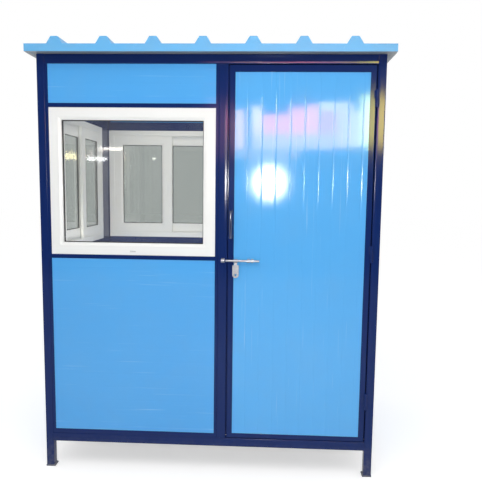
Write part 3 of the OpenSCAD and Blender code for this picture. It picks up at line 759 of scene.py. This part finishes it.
def ring(centre, width, height, outward, band, thick, lip):
    """A rounded frame of band width around an opening, standing on a wall face."""
    sideways = abs(outward.x) > 0.5
    piece = begin(bpy.ops.mesh.primitive_plane_add, size=1.0,
                  rotation=(radians(90), 0, radians(90) if sideways else 0))
    bpy.ops.mesh.select_all(action="SELECT")
    across = (1, width, height) if sideways else (width, 1, height)
    bpy.ops.transform.resize(value=across, center_override=(0, 0, 0))
    bpy.ops.transform.translate(value=centre)
    bpy.ops.mesh.inset(thickness=band)
    bpy.ops.mesh.delete(type="FACE")
    bpy.ops.mesh.select_all(action="SELECT")
    bpy.ops.mesh.extrude_region_move(TRANSFORM_OT_translate={"value": outward * thick})
    bpy.ops.mesh.select_all(action="SELECT")
    bpy.ops.mesh.normals_make_consistent(inside=False)
    pick_faces(piece, lambda middle, normal: normal.dot(outward) > 0.9)
    bpy.ops.mesh.bevel(offset=lip, segments=2, affect="EDGES")
    leave_edit()
    return piece


def panes(name):
    """The boxes of a glass node's panes, two on a sliding window, and the axis across them."""
    points = [v.co.copy() for v in nodes[name].data.vertices]
    axis = 0 if name.startswith(("left", "right")) else 1
    lo = min(p[axis] for p in points)
    hi = max(p[axis] for p in points)
    middle = (lo + hi) / 2
    groups = [points]
    if hi - lo > ONE_PANE:
        groups = [[p for p in points if p[axis] < middle], [p for p in points if p[axis] >= middle]]
    boxes = []
    for group in groups:
        boxes.append((Vector([min(p[i] for p in group) for i in range(3)]),
                      Vector([max(p[i] for p in group) for i in range(3)])))
    return boxes, axis


print("a glass node thicker than", ONE_PANE, "holds two panes")

# %% [markdown]
# ## Seals on every pane
# A pane reaches 12 mm into its frame, so the ring is that much smaller than the glass on each side.
# The thin edge of a sliding sash leaves room for a flatter seal than the fixed frame does.

# %% Glazing seals
BITE = 12 * MM
SEAL_W = 4 * MM
FIXED_SEAL = 4 * MM
SASH_SEAL = 2.2 * MM
LIP_SHARE = 0.3
OFF_GLASS = 0.1 * MM
for wall in WALLS:
    boxes, axis = panes(wall + "_window_glass")
    thick = FIXED_SEAL if wall == "front" else SASH_SEAL
    rings = []
    for lo, hi in boxes:
        centre, size = (lo + hi) / 2, hi - lo
        for side in (-1, 1):
            outward = Vector((0, 0, 0))
            outward[axis] = side
            seat = centre + outward * (size[axis] / 2 + OFF_GLASS)
            rings.append(ring(seat, size[1 - axis] - 2 * BITE, size.z - 2 * BITE, outward,
                              SEAL_W, thick, thick * LIP_SHARE))
    close(join(rings), wall + "_glazing_seal", rubber, "cabin")
    print(wall, "glazing seal rings", len(rings))

# %% [markdown]
# ## Roof screws
# The roof is held down by hexagon-headed self-drilling screws on rubber washers, in the flat pans
# beside the ribs, over the front and rear beams. Head, flange and washer are three cylinders
# whose upper edges are bevelled. Turning one profile round would be shorter, but a hexagon can't
# be turned.

# %% One screw
# Each row: sides, radius, height, middle, edge radius (mm), edge steps, material
SCREW = ((6, 4.6, 4.4, 5.2, 0.6, 1, zinc),
         (20, 6.6, 1.2, 2.6, 0.5, 2, zinc),
         (20, 7.6, 2.2, 1.0, 0.8, 2, rubber))


def hexagon_screw():
    """Head, flange and washer, standing on the origin."""
    parts = []
    for sides, radius, tall, centre_z, edge, steps, material in SCREW:
        part = begin(bpy.ops.mesh.primitive_cylinder_add, vertices=sides, radius=radius * MM,
                     depth=tall * MM, location=(0, 0, centre_z * MM))
        pick_faces(part, lambda middle, normal: normal.z > 0.9)
        bpy.ops.mesh.bevel(offset=edge * MM, segments=steps, affect="EDGES")
        leave_edit()
        part.data.materials.append(material)
        parts.append(part)
    screw = join(parts)
    leave_edit()
    return screw


print("screw parts", len(SCREW))

# %% [markdown]
# ## Screws in their rows
# The pitch and the shift of the ribs are the CAD model's. A screw sits 66 mm to each side of the
# middle of a pan, and none sits past the steel frame.

# %% Roof screws
RIB_PITCH = 256 * MM
RIB_SHIFT = -26 * MM
RIB_H = 38 * MM
OFF_MIDDLE = 66 * MM
FRAME_MARGIN = 10 * MM
pan_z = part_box("roof_panel")[1].z - RIB_H
holes = []
for i in range(-3, 5):
    for y in (-face_y + tube / 2, face_y - tube / 2):
        for side in (-1, 1):
            x = RIB_SHIFT + (i - 0.5) * RIB_PITCH + side * OFF_MIDDLE
            if abs(x) < face_x - FRAME_MARGIN:
                holes.append((Vector((x, y, pan_z)), UPRIGHT))
settle(repeat(hexagon_screw(), holes), "roof_screws", "cabin")
print("roof screws", len(holes))

# %% [markdown]
# ## Drain caps
# Water that gets into a plastic window frame runs out through a slot in the sill, and a small
# clip-on cap keeps the wind out. The photograph shows one in the middle of the front sill. The
# cap is a flat box with rounded edges, and its mouth is an inset in the lower face, pushed in. A
# hole cut by a Boolean would give the same mouth with less even faces.

# %% One cap
CAP = Vector((30, 5, 8)) * MM
CAP_EDGE = 1.6 * MM
CAP_WALL = 0.7 * MM
MOUTH_DEPTH = 4 * MM


def drain_cap():
    """A cap on a wall that faces -y, its back at the origin."""
    cap = begin(bpy.ops.mesh.primitive_cube_add, size=1.0)
    bpy.ops.mesh.select_all(action="SELECT")
    bpy.ops.transform.resize(value=CAP, center_override=(0, 0, 0))
    bpy.ops.transform.translate(value=(0, -CAP.y / 2, 0))
    pick_faces(cap, lambda middle, normal: normal.y < -0.9)
    bpy.ops.mesh.bevel(offset=CAP_EDGE, segments=2, affect="EDGES")
    pick_faces(cap, lambda middle, normal: normal.z < -0.9)
    bpy.ops.mesh.inset(thickness=CAP_WALL)
    bpy.ops.transform.translate(value=(0, 0, MOUTH_DEPTH))
    leave_edit()
    return cap


print("cap", tuple(CAP))

# %% [markdown]
# ## Caps on every sill
# The fixed front window has one cap and the sliding windows have two each, one for each sash. A
# cap is made for a wall that faces -y, so each copy gets a turn whose columns are the directions
# along the wall, into the wall and up.

# %% Drain caps
CAP_RISE = 21 * MM
SASH_SHARE = 0.27
OUTWARD = {"front": Vector((0, -1, 0)), "rear": Vector((0, 1, 0)),
           "left": Vector((-1, 0, 0)), "right": Vector((1, 0, 0))}
caps = []
for wall in WALLS:
    lo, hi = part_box(wall + "_window_frame")
    outward = OUTWARD[wall]
    along = Vector((-outward.y, outward.x, 0))
    turned = Matrix((along, -outward, (0, 0, 1))).transposed()
    width = max(hi.x - lo.x, hi.y - lo.y)
    axis = 0 if abs(outward.x) > 0.5 else 1
    for share in (0.0,) if wall == "front" else (-SASH_SHARE, SASH_SHARE):
        seat = (lo + hi) / 2 + along * width * share
        seat.z = lo.z + CAP_RISE
        seat[axis] = (lo if outward[axis] < 0 else hi)[axis]
        caps.append((seat, turned))
# The caps carry painted shade for the drain slot in their grey
close(repeat(drain_cap(), caps), "drain_caps", cap_plastic_and_shade, "cabin")
print("drain caps", len(caps))

# %% [markdown]
# ## Floor and cloth
# The studio is a pale floor under an even white sky. Rays that light the booth see a dimmer floor
# and sky than the camera does, so that paint renders about as it is written while the background
# stays white and the floor keeps the booth's shadow. A brighter lamp would whiten the floor too,
# but it would bleach the paint. A grey cloth behind the camera keeps the navy tubes deep.

# %% Floor and cloth
FLOOR = 0.80
FLOOR_LIFT = 0.47
CLOTH_PLACE = (0, -7.0, 2.6)
CLOTH_SIZE = (11, 1, 5)


def path_share(tree):
    """1 for rays that see the background: from the camera, a mirror or glass."""
    path = node(tree, "LightPath")
    seen = node(tree, "Math", {"operation": "MAXIMUM"}, {
        0: path.outputs["Is Camera Ray"], 1: path.outputs["Is Glossy Ray"]})
    return node(tree, "Math", {"operation": "MAXIMUM"}, {
        0: seen.outputs[0], 1: path.outputs["Is Transmission Ray"]}).outputs[0]


floor_paint, tree, output = new_material("pale_studio_floor")[:3]
matt = node(tree, "BsdfDiffuse", None, {"Color": (FLOOR, FLOOR, FLOOR, 1)})
lift = node(tree, "Math", {"operation": "MULTIPLY"}, {0: path_share(tree), 1: FLOOR_LIFT})
glow = node(tree, "Emission", None, {"Strength": lift.outputs[0]})
both = node(tree, "AddShader", None, {0: matt.outputs[0], 1: glow.outputs[0]})
tree.links.new(both.outputs[0], output.inputs["Surface"])
floor = begin(bpy.ops.mesh.primitive_plane_add, size=60)
leave_edit()
floor.name = "studio_floor"
floor.data.materials.append(floor_paint)
cloth_grey, tree, output = new_material("grey_studio_cloth")[:3]
matt = node(tree, "BsdfDiffuse", None, {"Color": linear("#B0B0B8")})
tree.links.new(matt.outputs[0], output.inputs["Surface"])
cloth = begin(bpy.ops.mesh.primitive_plane_add, size=1, location=CLOTH_PLACE,
              rotation=(radians(90), 0, 0))
bpy.ops.mesh.select_all(action="SELECT")
bpy.ops.transform.resize(value=CLOTH_SIZE, center_override=CLOTH_PLACE)
leave_edit()
cloth.name = "studio_cloth"
cloth.data.materials.append(cloth_grey)
cloth.visible_camera = False
print("stage", floor.name, cloth.name)

# %% [markdown]
# ## Sky
# The sky is a plain white world. It could be a picture of a real sky, but even light shows a
# finish as it is. Its strength is 1 for the rays that see it and less for those that light.

# %% Sky
SKY = 0.66
world = bpy.data.worlds.new("white_sky")
bpy.context.scene.world = world
world.use_nodes = True
tree = world.node_tree
tree.nodes.clear()
level = node(tree, "MapRange", None, {"Value": path_share(tree), "To Min": SKY, "To Max": 1.0})
sky = node(tree, "Background", None, {"Color": (1, 1, 1, 1), "Strength": level.outputs[0]})
node(tree, "OutputWorld", None, {"Surface": sky.outputs[0]})
bpy.context.scene.view_settings.view_transform = "Standard"
print("sky", SKY)

# %% [markdown]
# ## The flash
# The photograph was taken with a flash, whose round image sits in the door at eye height. A plain
# disc lamp would have a hard rim there, so light nodes make it brightest in its middle: the
# distance from the middle of the lamp, turned round and raised to the third power.

# %% Flash
FLASH_PEAK = 10.0


def lamp(name, place, aim, size, watts, colour):
    """A soft area lamp: a disc for one size, a rectangle for two."""
    bpy.ops.object.light_add(type="AREA", location=place)
    made = bpy.context.object
    made.name = name
    made.rotation_euler = (Vector(aim) - Vector(place)).to_track_quat("-Z", "Y").to_euler()
    made.data.shape = "RECTANGLE" if len(size) == 2 else "DISK"
    made.data.size = size[0]
    if len(size) == 2:
        made.data.size_y = size[1]
    made.data.energy = watts
    made.data.color = linear(colour)[:3]
    return made


flash = lamp("flash", place=(0.336, -3.75, 1.657), aim=(0.34, -0.6, 1.62), size=(0.62,),
             watts=38, colour="#FFFDF8")
flash.data.use_nodes = True
tree = flash.data.node_tree
tree.nodes.clear()
off_middle = node(tree, "VectorMath", {"operation": "DISTANCE"}, {
    0: node(tree, "NewGeometry").outputs["Parametric"], 1: (0.5, 0.5, 0.0)})
inward = node(tree, "MapRange", None, {"Value": off_middle.outputs["Value"], "From Min": 0.0,
                                       "From Max": 0.5, "To Min": 1.0, "To Max": 0.0})
hot = node(tree, "Math", {"operation": "POWER"}, {0: inward.outputs[0], 1: 3.0})
level = node(tree, "Math", {"operation": "MULTIPLY"}, {0: hot.outputs[0], 1: FLASH_PEAK})
glow = node(tree, "Emission", None, {"Strength": level.outputs[0]})
node(tree, "OutputLight", None, {"Surface": glow.outputs[0]})
print("flash", flash.data.energy, "W")

# %% [markdown]
# ## Overhead and room lamps
# A large soft lamp overhead models the roof. Two lamps that only light brighten the room, one under
# the ceiling and one below the window, because little of the sky gets in. They don't show in
# mirrors, so no lamp appears in the glass.

# %% Overhead and room lamps
lamp("overhead", place=(0.0, -2.8, 4.3), aim=(0.0, -0.4, 1.2), size=(3.0, 2.0), watts=47,
     colour="#FFFFFF")
# Each row: name, place, aim, size, watts
ROOM_LAMPS = (("ceiling", (0.0, 0.0, 2.19), (0.0, 0.0, 0.0), (1.4, 0.8), 5.5),
              ("sill", (-0.35, -0.5, 1.0), (-0.4, 0.6, 1.6), (0.9, 0.3), 7))
for name, place, aim, size, watts in ROOM_LAMPS:
    room = lamp(name, place, aim, size, watts, "#FFF3E6")
    room.visible_camera = False
    room.visible_glossy = False
print("room lamps", len(ROOM_LAMPS))

# %% [markdown]
# ## Street cards
# The gloss of the door and the tubes mirrors the lit street behind the camera. A picture of a
# street would need a file, so plain cards stand for its bright patches: they show in mirrors, and
# they don't light the matt surfaces. Each row gives a card's left, right, lower and upper edge in
# metres, its brightness and its colour. A rectangle lamp of a given brightness needs pi watts for
# each square metre of it.

# %% Street cards
CARD_Y = -5.0
STREET = (("white_wall", -0.12, 0.00, 2.11, 2.60, 26, "#FFC0B4"),
          ("white_gable", 0.10, 0.22, 2.30, 2.65, 25, "#FFDCD8"),
          ("rose_house", 0.22, 0.56, 2.30, 2.55, 27, "#FF8CA4"),
          ("rose_gable", 0.56, 0.80, 2.30, 2.64, 28, "#FF90A8"),
          ("pink_house", 0.80, 0.96, 2.30, 2.67, 28, "#FF9AB0"),
          ("white_eaves", 0.96, 1.40, 2.60, 2.71, 20, "#FFE6EC"),
          ("lilac_house", 0.96, 1.22, 2.30, 2.60, 19, "#F49CCC"),
          ("pale_house", 1.22, 1.50, 2.13, 2.60, 18, "#FFE0A0"),
          ("street_front", 0.10, 1.22, 2.11, 2.30, 15, "#FFD8D4"),
          ("green_tree", 1.50, 1.65, 2.15, 2.80, 34, "#E2F060"),
          ("lit_tree", 1.65, 1.95, 2.15, 2.80, 52, "#FFE46A"),
          ("kerb", -0.12, 0.72, 1.98, 2.11, 7, "#FFD890"),
          ("gutter", 0.02, 0.62, 1.86, 1.98, 3, "#FFD890"),
          ("far_house", -0.48, -0.24, 2.00, 2.70, 6, "#FFA8A8"),
          ("shop_light", -1.95, -1.62, 2.08, 2.11, 16, "#FFF6EC"),
          ("van_roof", -2.09, -1.84, 1.94, 1.98, 16, "#FFFFFF"),
          ("street_lamp", -2.40, -2.24, 1.95, 2.03, 10, "#FFF0B0"))
for name, left, right, low, high, brightness, colour in STREET:
    middle = ((left + right) / 2, CARD_Y, (low + high) / 2)
    size = (right - left, high - low)
    watts = brightness * pi * size[0] * size[1]
    card = lamp(name, middle, (middle[0], 0, middle[2]), size, watts, colour)
    card.visible_diffuse = False
    card.visible_camera = False
print("street cards", len(STREET))

# %% Final update
bpy.context.view_layer.update()
